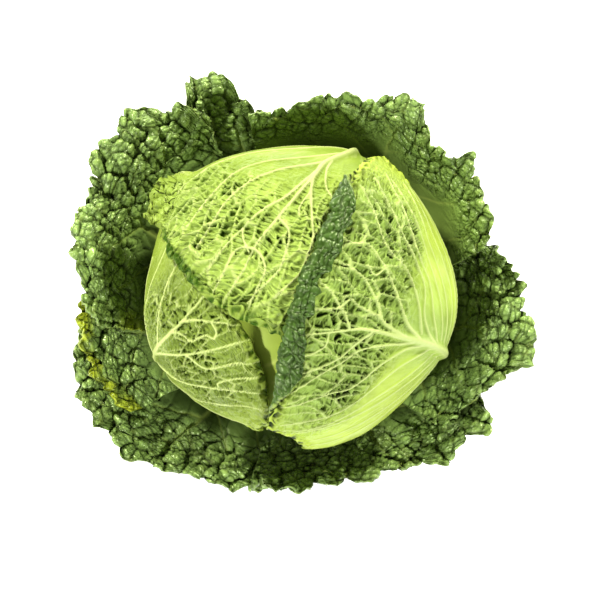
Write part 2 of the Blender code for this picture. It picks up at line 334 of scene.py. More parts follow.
def leaf_finish(name, blade, deep_and_shade, vein, blush, back, roughness, shine, skin, depth, crisp=0.0):
    """Waxy leaf: blade colour with a little variation, painted shade in creases and pockets, pale on veins.

    The colours are hex codes: the blade; a deep green for slow patches, which is also the colour of the
    painted shade; a pale one for veins and painted highlights; the blush; and back, the underside's blade.
    shine is how strongly the upper face and the underside reflect, and gloss fades where shade is painted.
    skin is the spacing in mm of the finest puckers and depth their height in mm: domes on the upper face
    and pits on the underside. crisp sharpens the edges of veins and painted shade: tones below it count
    as 0 and above 1 - crisp as 1.
    """
    made = bpy.data.materials.new(name)
    made.use_nodes = True
    tree = made.node_tree
    shader = tree.nodes["Principled BSDF"]
    tone = {key: add_node(tree, "ShaderNodeAttribute", attribute_name=key).outputs["Fac"] for key in TONES}
    place = add_node(tree, "ShaderNodeTexCoord").outputs["Object"]
    chart = add_node(tree, "ShaderNodeAttribute", attribute_name="chart").outputs["Vector"]

    # Colour: the face's green, slow deep-green patches, painted shade, and on top pale veins and highlights.
    patches = add_node(tree, "ShaderNodeTexNoise", [("Vector", place)], Scale=1 / (PATCH_MM * MM), Detail=4.0)
    shade = add_node(tree, "ShaderNodeMapRange", [("Value", patches.outputs["Fac"])],
                     From_Min=0.3, From_Max=0.75, To_Max=0.35)
    hollows = add_node(tree, "ShaderNodeMapRange", [("Value", tone["hollow"])],
                       From_Min=crisp, From_Max=1 - crisp)
    veins = add_node(tree, "ShaderNodeMapRange", [("Value", tone["vein"])],
                     From_Min=crisp, From_Max=1 - crisp)
    colour = blade
    for share, over in ((tone["underside"], back), (tone["blush"], blush), (shade.outputs["Result"], deep_and_shade),
                        (hollows.outputs["Result"], deep_and_shade), (veins.outputs["Result"], vein)):
        mix = add_node(tree, "ShaderNodeMix", [("Factor", share), (6, colour), (7, over)], data_type="RGBA")
        colour = mix.outputs[2]
    tree.links.new(colour, shader.inputs["Base Color"])

    # Wax: a fine grain in the roughness, and gloss that fades where shade is painted, in creases that see
    # little sky.
    grain = add_node(tree, "ShaderNodeTexNoise", [("Vector", place)], Scale=1 / (GRAIN_MM * MM), Detail=3.0)
    rough = add_node(tree, "ShaderNodeMapRange", [("Value", grain.outputs["Fac"])],
                     To_Min=roughness - 0.08, To_Max=roughness + 0.12)
    gleam = add_node(tree, "ShaderNodeMapRange", [("Value", tone["underside"])],
                     To_Min=shine[0], To_Max=shine[1])
    open_sky = add_node(tree, "ShaderNodeMapRange", [("Value", tone["hollow"])], To_Min=1.0, To_Max=0.0)
    gloss = add_node(tree, "ShaderNodeMath", [(0, gleam.outputs["Result"]), (1, open_sky.outputs["Result"])],
                     operation="MULTIPLY")
    tree.links.new(rough.outputs["Result"], shader.inputs["Roughness"])
    tree.links.new(gloss.outputs[0], shader.inputs["Specular IOR Level"])
    shader.inputs["Specular Tint"].default_value = srgb(WAX_TINT)
    shader.inputs["IOR"].default_value = LEAF_IOR
    shader.inputs["Metallic"].default_value = 0.0

    # Finest puckers: one for each cell, raised on the upper face and sunk on the underside.
    fine = add_node(tree, "ShaderNodeTexVoronoi", [("Vector", chart)], Scale=1 / skin,
                    feature="DISTANCE_TO_EDGE", voronoi_dimensions="2D")
    puckers = add_node(tree, "ShaderNodeMapRange", [("Value", fine.outputs["Distance"])],
                       interpolation_type="SMOOTHSTEP", From_Min=0.04, From_Max=0.40)
    amount = add_node(tree, "ShaderNodeMath", [(0, puckers.outputs["Result"]), (1, tone["pucker"])],
                      operation="MULTIPLY")
    way = add_node(tree, "ShaderNodeMapRange", [("Value", tone["underside"])], To_Min=1.0, To_Max=-1.0)
    skin_height = add_node(tree, "ShaderNodeMath", [(0, amount.outputs[0]), (1, way.outputs["Result"])],
                           operation="MULTIPLY")
    bump = add_node(tree, "ShaderNodeBump", [("Height", skin_height.outputs[0])], Strength=1.0,
                    Distance=depth * MM)
    tree.links.new(bump.outputs["Normal"], shader.inputs["Normal"])
    return made


# %% [markdown]
# ## Five greens
# The same waxy skin comes in five colourings. The outer leaves grew in full light: blue-green and
# glossy. The wrapper leaves show their undersides, and get yellower and smoother towards the heart.
# Each has its own mix. The left one's underside green is painted darker than the top one's, as shade,
# since that leaf faces away from the back lamps.

# %% The five finishes
OUTER_GREEN = leaf_finish(
    "outer_leaf_waxy", blade="#79944A", deep_and_shade="#0D1C00", vein="#808F42", blush="#A3B022", back="#6B7D44",
    roughness=0.30, shine=(1.1, 0.5), skin=2.4, depth=0.4)
TOP_GREEN = leaf_finish(
    "wrapper_top_waxy", blade="#35501C", deep_and_shade="#2A4508", vein="#969F60", blush="#74862F", back="#859A43",
    roughness=0.40, shine=(1.0, 0.35), skin=3.0, depth=1.1, crisp=0.2)
RIGHT_GREEN = leaf_finish(
    "wrapper_right_waxy", blade="#344D18", deep_and_shade="#101E00", vein="#939F5E", blush="#97A93A", back="#788F3E",
    roughness=0.36, shine=(0.9, 0.35), skin=3.0, depth=1.1, crisp=0.2)
# The left wrapper's darker underside green is painted shade.
LEFT_GREEN_SHADED = leaf_finish(
    "wrapper_left_waxy_shaded", blade="#344A18", deep_and_shade="#1D2E00", vein="#9DA862", blush="#7F9032", back="#66782C",
    roughness=0.40, shine=(0.8, 0.35), skin=3.0, depth=1.1, crisp=0.2)
HEART_GREEN = leaf_finish(
    "heart_leaf_waxy", blade="#A9BE48", deep_and_shade="#70811D", vein="#CAD46E", blush="#A9BE48", back="#A9BE48",
    roughness=0.42, shine=(0.35, 0.35), skin=2.4, depth=0.0)
print("finishes:", [made.name for made in (OUTER_GREEN, TOP_GREEN, RIGHT_GREEN, LEFT_GREEN_SHADED, HEART_GREEN)])

# %% [markdown]
# ## The head: heart and wrapper leaves
# The heart is a slightly faceted ellipsoid, and each wrapper leaf follows it at its own distance. A
# place on a wrapper is two angles: "up" runs along the midrib from the equator over the top, and
# "side" runs across it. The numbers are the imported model's own, so the fine leaves lie where its
# leaves do. The formula needs no modelling by hand, and smooth leaves at different distances never
# meet. Lengths are in metres and angles in degrees. HEAD_MM is the radius, in mm, by which an angle on
# the head becomes a length on a leaf.

# %% The head's form
HEAD_CENTRE = np.array([0.0, 0.0, 0.098])
HEART_RADII = np.array([0.079, 0.076, 0.064])
HEAD_SWELL = 0.0018
HEAD_FLATS = 5
HALF_BLADE = 0.0006
BASE_UP = -77.0
WIDEST_UP = -22.0
WRAPPER_NECK = 0.16
WRAPPER_LIP = 0.0022
CHART_CENTRE_UP = 50.0
HEAD_MM = 86.0


def head_swell(direction):
    """How far the head bulges: swell * level^2 * cos(5 azimuth + 2 z + 0.6), alike for every leaf."""
    azimuth = np.arctan2(direction[..., 1], direction[..., 0])
    level = np.hypot(direction[..., 0], direction[..., 1])
    return HEAD_SWELL * level**2 * np.cos(HEAD_FLATS * azimuth + 2 * direction[..., 2] + 0.6)


def head_chart(up, side):
    """A wrapper leaf spread flat, in mm, from its two angles in degrees.

    It is the equal-area map of a sphere round the point CHART_CENTRE_UP on the midrib, so cells and
    veins keep their size all over the part that shows.
    """
    a, b = np.radians(up - CHART_CENTRE_UP), np.radians(side)
    ahead, aside, toward = np.sin(a) * np.cos(b), np.sin(b), np.cos(a) * np.cos(b)
    stretch = HEAD_MM * np.sqrt(2 / np.maximum(1 + toward, 0.02))
    return aside * stretch, ahead * stretch


def on_head(azimuth, up, side, out):
    """The point at these two angles, in degrees, at a distance out from the heart's ellipsoid."""
    a, up, side = np.radians(azimuth), np.radians(up), np.radians(side)
    outward, sideways = np.array([np.cos(a), np.sin(a), 0]), np.array([-np.sin(a), np.cos(a), 0])
    circle = np.multiply.outer(np.cos(up), outward) + np.multiply.outer(np.sin(up), (0, 0, 1.0))
    direction = np.cos(side)[..., None] * circle + np.multiply.outer(np.sin(side), sideways)
    out = out + head_swell(direction)
    return HEAD_CENTRE + direction * (HEART_RADII + out[..., None])


# %% [markdown]
# ## The three wrapper leaves
# Each leaf's veins are listed as (half width at the start, half width at the end, points), where a
# point is (up, side) in degrees. The midrib comes first. Veins leave it low down and fan out towards
# the edge. Past the ones listed, the net of cells carries on by itself.
#
# The other numbers of a leaf, by group:
# - place: azimuth of the midrib, lift off the heart in metres, top and sides where it ends, in degrees,
#   lean of the midrib, how far the corners drop and with which power, and how far each side's lip lifts;
# - grid: rows and columns;
# - margin: frill height in mm on the two sides, how wide it is, wobble of the edge in degrees, crimp and
#   flare that lift the edge in metres, roll, the length in metres that is rolled back, and bead, the
#   size in mm of the beads on what is turned over;
# - relief: where the net starts and is full along the leaf, where it is centred across it and how far it
#   reaches, depth of its pockets in mm, strength of the finest puckers, and the direction, along and
#   across, that the pockets' steep walls face, where shade is painted;
# - tones: yellow blush all over, young yellow where there is no net, how far from the midrib that is
#   full, how pale the net is, and how strong the shade painted on the pockets' steep walls is.
#
# Three keys are for one leaf each. covered is the line, seen from above, past which the next leaf
# presses it flat. room is the most that its relief may rise under its neighbour. The third gives the
# stretch of its edge that is painted as a dark beaded band: the darker upper face of an edge turned
# over, which the mesh doesn't fold, with painted shade between the beads.

# %% Wrapper leaves and their veins
WRAPPERS = {
    "wrapper_leaf_1": dict(
        azimuth=207, lift=0.0035, top=63, sides=(62, 50), lean=-3, drop=(26, 36), power=(8, 4),
        lip=(0.0, 0.2), rows=193, columns=197,
        frill=(1.2, 1.4), frill_width=7, wobble=1.0, crimp=0.0015, flare=0.0, roll=0.0, bead=3.0, room=2.6,
        net=(0.51, 0.76), net_middle=10.0, net_reach=45.0, pocket=2.4, pucker=0.8, steep=(0.3, 0.95),
        blush=0.1, young=0.6, green_reach=40.0, net_pale=0.55, wall_shade=1.1, finish=LEFT_GREEN_SHADED,
        veins=[(4.5, 0.6, [(-77, 0), (-30, 0), (0, 0), (17, -1), (33, -2), (41, -3), (54, -6), (66, -10)]),
               (1.22, 0.65, [(41, -3), (47, -1), (53, 3), (60, 8), (66, 10)]),
               (0.91, 0.65, [(53, 3), (53, 7), (50, 9)]),
               (1.42, 0.65, [(12, -1), (20, -2), (31, -11), (42, -20), (50, -26)]),
               (1.22, 0.65, [(4, -1), (14, -13), (27, -25), (38, -36)]),
               (1.11, 0.65, [(33, -2), (37, 0), (40, 5), (47, 6), (50, 9)]),
               (1.73, 0.65, [(12, 0), (19, 2), (33, 8), (46, 12), (54, 14), (64, 16)]),
               (1.11, 0.65, [(33, 8), (36, 16), (43, 19), (51, 21), (60, 25)]),
               (1.52, 0.65, [(2, 2), (15, 14), (28, 23), (38, 29), (50, 36)]),
               (0.91, 0.65, [(34, 25), (36, 24), (45, 26), (55, 30)]),
               (1.31, 0.65, [(-8, 6), (8, 22), (22, 31), (35, 38), (44, 46)]),
               (1.22, 0.65, [(-20, 8), (0, 36), (22, 52)]),
               (1.22, 0.65, [(-10, -4), (4, -24), (18, -38)])]),
    "wrapper_leaf_2": dict(
        azimuth=66, lift=0.0070, top=114, sides=(46, 72), lean=17, drop=(4, 29.4), power=(2, 2),
        lip=(0.0, 0.6), rows=333, columns=265,
        frill=(1.5, 4.0), frill_width=8, wobble=1.2, crimp=0.0025, flare=0.0080, roll=0.0, bead=3.0,
        covered=((30, 70), (-13, -56)), painted_fold_band=(0.12, 0.85),
        net=(0.58, 0.82), net_middle=20.0, net_reach=75.0, pocket=2.6, pucker=1.0, steep=(0.4, -0.9),
        blush=0.2, young=0.9, green_reach=0.0, net_pale=0.5, wall_shade=0.85, finish=TOP_GREEN,
        veins=[(4.8, 0.7, [(-77, 0), (-30, 0), (18, 1), (39, 7), (52, 8), (75, 12), (89, 15), (98, 15),
                           (112, 17)]),
               (1.93, 0.65, [(47, 8), (51, 9), (65, 13), (73, 18), (83, 22), (91, 25), (104, 27)]),
               (1.93, 0.65, [(34, 5), (39, 8), (48, 18), (55, 24), (62, 28), (73, 33), (80, 34), (97, 36)]),
               (1.31, 0.65, [(22, 2), (34, 12), (48, 31), (61, 38), (73, 42), (90, 45)]),
               (1.62, 0.65, [(50, 8), (59, 6), (71, 1), (77, -2), (85, -3), (92, -3), (102, 1)]),
               (1.11, 0.65, [(75, 12), (78, 7), (82, 5), (88, 4), (94, 4), (108, 9)]),
               (1.11, 0.65, [(89, 15), (91, 11), (95, 8), (100, 8), (110, 8)]),
               (1.11, 0.65, [(89, 15), (91, 20), (95, 21), (102, 21), (110, 22)]),
               (1.01, 0.65, [(36, 5), (44, 5), (54, 2), (60, -3), (66, -8)]),
               (0.91, 0.65, [(59, 6), (67, 7), (71, 6)]),
               (0.91, 0.65, [(83, 22), (87, 20), (91, 16)]),
               (1.31, 0.65, [(8, 0), (22, 16), (34, 38), (48, 54), (60, 62)]),
               (1.22, 0.65, [(0, 0), (10, -18), (30, -32), (44, -38)]),
               (1.31, 0.65, [(-8, 0), (6, 24), (14, 48), (24, 66)])]),
    "wrapper_leaf_3": dict(
        azimuth=-22, lift=0.0105, top=83.2, sides=(63.5, 68), lean=-12, drop=(18.2, 25), power=(1.35, 8),
        lip=(1.0, 1.0), rows=249, columns=273,
        frill=(1.6, 2.2), frill_width=7, wobble=0.5, crimp=0.0, flare=0.0, roll=0.0145, bead=3.5,
        net=(0.66, 0.84), net_middle=-5.0, net_reach=72.0, pocket=2.8, pucker=0.9, steep=(0.1, 1.0),
        blush=0.0, young=0.75, green_reach=40.0, net_pale=0.6, wall_shade=1.0, finish=RIGHT_GREEN,
        veins=[(6, 0.6, [(-77, 0), (-30, 0), (11, -2), (30, -4), (45, -7), (59, -10), (70, -16), (79, -21),
                         (86, -26)]),
               (2.02, 0.65, [(40, -6), (46, -6), (54, -5), (58, -1), (63, 3), (68, 6), (76, 7), (84, 6)]),
               (1.11, 0.65, [(55, -4), (64, -4), (68, -3), (70, -6)]),
               (1.31, 0.65, [(64, -12), (67, -9), (70, -7), (76, -3), (83, -1)]),
               (0.91, 0.65, [(70, -7), (74, -9), (78, -11), (82, -12)]),
               (1.73, 0.65, [(34, -4), (43, -2), (49, 2), (60, 12), (69, 17), (75, 15), (81, 17), (84, 24)]),
               (1.22, 0.65, [(34, -2), (43, 8), (50, 15), (58, 18), (65, 23), (72, 32), (78, 38)]),
               (1.42, 0.65, [(24, -2), (31, 0), (37, 5), (41, 15), (54, 26), (63, 36), (72, 46)]),
               (1.22, 0.65, [(22, -1), (31, 6), (38, 17), (48, 26), (59, 44), (64, 54)]),
               (1.31, 0.65, [(56, -10), (59, -16), (61, -22), (66, -28), (76, -36)]),
               (1.52, 0.65, [(36, -6), (42, -9), (49, -12), (56, -17), (59, -23), (65, -31), (75, -45)]),
               (1.52, 0.65, [(30, -5), (38, -10), (45, -20), (49, -31), (57, -37), (70, -48)]),
               (1.31, 0.65, [(24, -4), (34, -16), (38, -30), (45, -44), (62, -56)]),
               (1.31, 0.65, [(12, -2), (20, -18), (28, -36), (38, -48), (53, -62)]),
               (0.91, 0.65, [(70, -16), (69, -20), (71, -24), (77, -30)]),
               (0.90, 0.65, [(60, 12), (63, 8), (67, 10)]),
               (1.22, 0.65, [(14, 0), (24, 14), (38, 36), (48, 56)]),
               (1.22, 0.65, [(4, 0), (14, 22), (22, 44), (30, 62)]),
               (1.22, 0.65, [(-8, 0), (0, 26), (2, 60)]),
               (1.0, 0.65, [(18, 0), (30, 14), (48, 38), (60, 52)]),
               (1.0, 0.65, [(9, 0), (20, 20), (32, 42), (40, 60)]),
               (1.0, 0.65, [(-2, 0), (8, 24), (12, 48), (16, 62)]),
               (1.0, 0.65, [(18, -3), (27, -22), (34, -38), (46, -54), (58, -60)]),
               (1.0, 0.65, [(7, -1), (14, -24), (21, -44), (30, -60)]),
               (1.22, 0.65, [(2, 0), (8, -26), (14, -50), (22, -64)])]),
}
print("listed veins:", {name: len(leaf["veins"]) for name, leaf in WRAPPERS.items()})

# %% [markdown]
# ## Relief of a leaf's underside
# Going outwards from the head, four things stand on the smooth blade. The listed veins are the
# highest. A wide net about 8 mm across and a fine net about 5 mm across are lower ridges, and the wide
# one is drawn out along the veins. Between the ridges the blade sinks into pockets, which are the backs
# of its blisters: deep towards the leaf's edge and none at its base, where the leaf stays smooth.
#
# A pocket isn't an even bowl. The blade leans as it grows, so one wall is steep and the other slopes
# off gently. Shade is painted on the steep wall near its foot. The steep side is found from the
# gradient of the distance to the net.

# %% Pockets between ridges
WIDE_CELL = 8.0
FINE_CELL = 4.8
WIDE_FOOT = 0.4
FINE_FOOT = 0.3
GENTLE_REACH = 1.3
STEEP_GAIN = 0.6
VEIN_FAN_UP = 4.0
CELL_FAN_BACK = 80.0
CELL_FAN_REACH = 190.0
RUNG = 0.36


def fan(x, y, back):
    """(angle, distance) of each point, seen from back mm behind the base of the leaf's veins."""
    ahead = y - head_chart(VEIN_FAN_UP, 0.0)[1] + back
    return np.arctan2(x, ahead), np.hypot(x, ahead)


def pockets(wide, fine, steep):
    """(depth, painted shade on the steep wall) of the pockets, as shares, from the distances to both nets'
    lines.

    The depth is a dome that starts at the foot of the nearest ridge. Its reach is shorter where the
    gradient of that distance points along steep, which makes that wall steep, and shade is painted near its
    foot.
    """
    near_line = np.minimum(fine - FINE_FOOT, wide - WIDE_FOOT)
    along, across = np.gradient(near_line)
    facing = steep[0] * along + steep[1] * across
    facing = facing / np.maximum(np.hypot(along, across), 1e-6)
    depth = dome(near_line, GENTLE_REACH - STEEP_GAIN * facing)
    return depth, ridge(near_line - 0.35, 0.5) * (0.15 + 0.85 * smoothstep(-0.2, 0.8, facing))


def underside_relief(x, y, t, leaf, veins, seed):
    """(height in mm, tones, how far the net has come, pucker chart) of a wrapper leaf's underside.

    The larger of the ridges, less the pockets between them. Both nets are laid out along a fan, the
    angle and the distance from a point behind the leaf: the wide one is drawn out along it and the
    fine one across it. Where the net has not come, faint streaks run out from the base: the lines
    where a noise, drawn out along the fan, is zero. The finest puckers lie across the fan, like rungs.
    """
    bend_x, bend_y = 2.6 * noise(x, y, 12, seed), 2.6 * noise(x, y, 12, seed + 1)
    angle, away = fan(x, y, CELL_FAN_BACK)
    turn, out = CELL_FAN_REACH * angle + bend_x, away + bend_y
    wide, _ = cells(turn, 0.4 * out, WIDE_CELL, seed + 2)
    fine, number = cells(0.5 * turn + 0.6 * noise(x, y, 5, seed + 8), 1.25 * out, FINE_CELL, seed + 3)
    start, full = leaf["net"]
    off = np.abs(x - leaf["net_middle"]) / leaf["net_reach"]
    grown = smoothstep(start, full, t + 0.05 * noise(x, y, 22, seed + 4))
    grown = grown * (1 - 0.8 * smoothstep(0.7, 1.3, off))

    main, line = vein_field(x, y, veins)
    wide_ridge = ridge(wide, 0.75) * (0.15 + 0.85 * grown)
    fine_ridge = ridge(fine, 0.6) * grown
    angle, away = fan(x, y, 0)
    streak = ridge(noise(70 * angle + 0.2 * bend_x, 0.14 * away, 3.2, seed + 6), 0.14) * (1 - grown)
    low = np.maximum(np.maximum(wide_ridge, 0.3 * fine_ridge), 0.35 * streak)
    swell = 0.45 * (1 + noise(x, y, 8, seed + 7)) * (0.25 + grown)

    clear = 1 - smoothstep(0.25, 0.75, line)
    share = (0.15 + 0.85 * number) * np.clip(0.9 + 0.8 * noise(x, y, 17, seed + 5), 0.15, 1.3) * grown
    depth, steep_wall_shade = pockets(wide, fine, leaf["steep"])
    pocket = depth * share * clear
    height = np.maximum(1.3 * main, low * (1 - line)) + swell + leaf["pocket"] * (0.9 * grown - pocket)

    pale_wide, pale_fine = ridge(wide, 0.6) * (0.1 + 0.9 * grown), 0.6 * ridge(fine, 0.5) * grown * number
    pale_net = leaf["net_pale"] * np.maximum(pale_wide, pale_fine)
    # Pale veins and net, and painted shade on the pockets' steep walls.
    tones = {"vein": np.maximum(line, np.maximum(pale_net, 0.4 * streak)),
             "hollow": leaf["wall_shade"] * share * clear * steep_wall_shade, "pucker": leaf["pucker"] * grown * clear}
    return height, tones, grown, (RUNG * turn, out)


# %% [markdown]
# ## A wrapper leaf's edge
# Towards its edge a savoy leaf grows faster still, and has to fold. The folds wind like a labyrinth,
# and so do the crests of smooth hills that pass through zero, which is how they are made. On the leaf
# over the top the edge stands up in such folds. On the right leaf it rolls right back, so that a band
# of the dark beaded upper face shows: the leaf's last row is carried on round a small circle and then
# straight, in the direction that the leaf had. CRINKLED is where along a leaf all this starts and is
# full. Where the right leaf covers the top one, that one is pressed flat.

# %% Sizes of folds, rolls and beads
ROLL_RADIUS = 0.0022
ROLL_TURN = 3.3
ROLL_ROWS = 30
SHORTEST_ROLL = 0.0005
FULL_FLARE = 0.004
FOLD_MM = 3.1
BEAD_HEIGHT = 2.8
CURL_HEIGHT = 2.0
CRINKLED = (0.5, 0.75)


# %% The middle surface and its margin
def wrapper_middle(leaf, t, v, wobble=0, crimp=0):
    """(middle surface, up, side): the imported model's formula, with a frilled edge.

    wobble moves the edge along the head, in degrees, and crimp lifts the blade off it, in metres.
    """
    span = np.where(v > 0, leaf["sides"][1], leaf["sides"][0])
    drop = np.where(v > 0, leaf["drop"][1], leaf["drop"][0])
    top = leaf["top"] - drop * np.abs(v) ** np.where(v > 0, leaf["power"][1], leaf["power"][0])
    up = BASE_UP + (top - BASE_UP) * t
    widening = WRAPPER_NECK + (1 - WRAPPER_NECK) * smoothstep(BASE_UP, WIDEST_UP, up)
    lean = leaf["lean"] * np.sin(np.radians(np.clip(up, 0, 180))) ** 2
    side = v * span * widening + lean * (1 - np.abs(v))
    up = up + wobble * smoothstep(0.9, 1, t)
    side = side + wobble * np.sign(v) * smoothstep(0.85, 1, np.abs(v))
    lip = np.interp(v, (-0.3, 0.3), leaf["lip"]) * WRAPPER_LIP * smoothstep(0.86, 1, t)
    return on_head(leaf["azimuth"], up, side, leaf["lift"] + lip + crimp), up, side


def margin_distance(leaf, t, v):
    """How far a point is from the leaf's edge, in mm: the shorter of the ways to the side and the tip."""
    span = np.where(v > 0, leaf["sides"][1], leaf["sides"][0])
    to_side = (1 - np.abs(v)) * span * HEAD_MM * np.pi / 180
    to_tip = (1 - t) * (leaf["top"] - BASE_UP) * HEAD_MM * np.pi / 180
    return np.minimum(to_side, to_tip)


def margin_folds(x, y, seed):
    """The winding folds of a leaf's edge, from 0 in the valleys to 1 on the crests."""
    return labyrinth(x + 0.8 * noise(x, y, 4, seed + 12), y, FOLD_MM, seed + 15)


# %% The rolled edge and the covered part
def rolled(surface, length, turn):
    """The last rows of a grid bent back over the leaf: a roll of ROLL_RADIUS, then a straight flap.

    surface is the leaf as far as the roll. length is how far the blade goes on at each column, and
    turn the angle it rolls through. Both follow the direction that the leaf's last rows have.
    """
    s = np.linspace(0, 1, ROLL_ROWS + 1)[1:, None] * length
    ahead = surface[-1] - surface[-3]
    ahead = ahead / np.linalg.norm(ahead, axis=-1, keepdims=True)
    out = underside_normals(surface)[-1]
    arc = np.minimum(s, ROLL_RADIUS * turn)
    angle, flap = arc / ROLL_RADIUS, s - arc
    forward = ROLL_RADIUS * np.sin(angle) + flap * np.cos(angle)
    outward = ROLL_RADIUS * (1 - np.cos(angle)) + flap * np.sin(angle)
    return np.concatenate([surface, surface[-1] + forward[..., None] * ahead + outward[..., None] * out])


def beyond(points, line):
    """How far points lie to the right of a line, in mm, seen from above, if it starts at the top.

    It is the cross product of the line with the way to the point, over the line's length.
    """
    (from_x, from_y), (to_x, to_y) = line
    x, y = points[..., 0] / MM, points[..., 1] / MM
    cross = (x - from_x) * (from_y - to_y) - (y - from_y) * (from_x - to_x)
    return cross / np.hypot(to_x - from_x, to_y - from_y)


# %% A wrapper leaf, put together
def wrapper_piece(name, leaf, seed):
    """A wrapper leaf with its underside showing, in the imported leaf's place."""
    spacing = graded(leaf["rows"], [(0, 4), (0.38, 1.6), (0.55, 1)])
    t, v = np.meshgrid(spacing, np.linspace(-1, 1, leaf["columns"]), indexing="ij")
    _, up, side = wrapper_middle(leaf, t, v)
    x, y = head_chart(up, side)
    wobble = leaf["wobble"] * (1.3 * noise(x, y, 11, seed + 6) + 1.1 * noise(x, y, 4.5, seed + 7))
    margin = margin_distance(leaf, t, v)
    grown = smoothstep(*CRINKLED, t)
    folds = margin_folds(x, y, seed)
    flare = leaf["flare"] * smoothstep(0.80, 0.97, v) * smoothstep(0.46, 0.60, t) * (0.35 + 0.75 * folds)
    crimp = leaf["crimp"] * ridge(margin, 4.0) * grown * (0.5 + 0.5 * noise(x, y, 5.5, seed + 16))
    middle, _, _ = wrapper_middle(leaf, t, v, wobble, flare + crimp)
    # Painted shade in the valleys between the flared folds.
    valley_shade = np.clip(flare / FULL_FLARE, 0, 1) * smoothstep(0.45, 0.9, 1 - folds)

    # The rolled edge: rows are added to the grid, and its numbers are carried on over them.
    roll = smoothstep(-0.97, -0.35, v[-1]) * (1 - smoothstep(0.45, 0.78, v[-1]))
    if leaf["roll"]:
        wave = 0.6 * noise(x[-1], y[-1], 13, seed + 8) + 0.8 * noise(x[-1], y[-1], 4, seed + 11)
        length = SHORTEST_ROLL + leaf["roll"] * roll * (1 + 0.2 * wave)
        middle = rolled(middle, length, ROLL_TURN * roll)
        past = np.linspace(0, 1, ROLL_ROWS + 1)[1:, None] * length / MM
        t, v, x, margin, valley_shade = (np.concatenate([grid, np.repeat(grid[-1:], ROLL_ROWS, 0)])
                                    for grid in (t, v, x, margin, valley_shade))
        y = np.concatenate([y, y[-1] + past])

    # Relief of the face that shows.
    veins = [(start, end, np.column_stack(head_chart(*np.transpose(points))))
             for start, end, points in leaf["veins"]]
    height, tone, net, chart = underside_relief(x, y, t, leaf, veins, seed)
    grown = smoothstep(*CRINKLED, t)
    near = ridge(margin, leaf["frill_width"]) * grown
    curls = margin_folds(x, y, seed)
    hill, _ = cells(x + noise(x, y, 6, seed + 13), y, 6.0, seed + 10)
    frill = np.interp(v, (-0.5, 0.5), leaf["frill"]) * grown
    crinkle = (0.6 * dome(hill, 2.6) + 0.5 * noise(x, y, 16, seed + 14)) * frill * near
    height = height * (1 - 0.5 * near) + crinkle + CURL_HEIGHT * near * curls
    height = height * (1 - 0.85 * ridge(margin, 3.0))
    if "covered" in leaf:
        height = height * (1 - 0.8 * smoothstep(1.0, 8.0, beyond(middle, leaf["covered"])))
    height = np.minimum(height, leaf.get("room", np.inf))

    # Beads of the upper face, along the edge that rolls back.
    bead, size = cells(x + 2.4 * noise(x, y, 5, seed + 12), y + 1.8 * noise(x, y, 5, seed + 17),
                       leaf["bead"], seed + 9)
    still = np.zeros(t.shape)
    curled = ridge(margin, 14.0) * grown * (0.12 + 0.88 * roll) if leaf["roll"] else still
    beads = (dome(bead, 1.6) * (0.3 + 0.6 * size) + 0.25 * curls) * curled
    normals = underside_normals(middle)
    lower = middle + normals * (HALF_BLADE + height * MM)[..., None]
    upper = middle - normals * (HALF_BLADE + BEAD_HEIGHT * beads * MM)[..., None]

    # Tones: painted shade in the valleys between the folds, yellow where the leaf is young.
    underside_shade = np.maximum(tone["hollow"] * (1 - 0.6 * near), 0.8 * near * (1 - curls) ** 2)
    underside_shade = np.maximum(underside_shade, valley_shade)
    # A stretch of the edge is painted dark, as an edge turned over would show its darker upper face, with
    # painted shade between the beads.
    if "painted_fold_band" in leaf:
        start, end = leaf["painted_fold_band"]
        painted_fold_band = smoothstep(start, start + 0.15, v) * (1 - smoothstep(end - 0.15, end, v))
        painted_fold_band = painted_fold_band * ridge(margin - 3.0, 6.0)
        underside_shade = np.maximum(underside_shade, 0.9 * painted_fold_band * (0.5 + 0.5 * ridge(bead, 0.8)))
    green = smoothstep(leaf["green_reach"] - 50, leaf["green_reach"], np.abs(x))
    blush = np.clip(leaf["blush"] + 0.5 * near + leaf["young"] * (1 - net) * green, 0, 1)
    inner_face = still if leaf["roll"] else still + 1
    # The rolled edge's upper face gets painted shade in the creases between its beads.
    tones = {"vein": (still, tone["vein"] * (1 - 0.5 * near)),
             "hollow": (0.6 * ridge(bead, 0.75) * curled, underside_shade), "blush": (inner_face * blush, blush),
             "underside": (inner_face, still + 1), "pucker": (0.25 * curled, tone["pucker"])}
    rows = kept(len(t), 6, leaf["rows"] - 3) if leaf["roll"] else kept(len(t), 4)
    columns = kept(t.shape[1], 1 if leaf["roll"] else 4)
    piece = leaf_object(name + "_leaf", upper, lower, tones, chart, rows, columns, 0, leaf["finish"])
    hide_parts(name)
    return piece


for number, (name, leaf) in enumerate(WRAPPERS.items()):
    wrapper_piece(name, leaf, 100 * (number + 1))
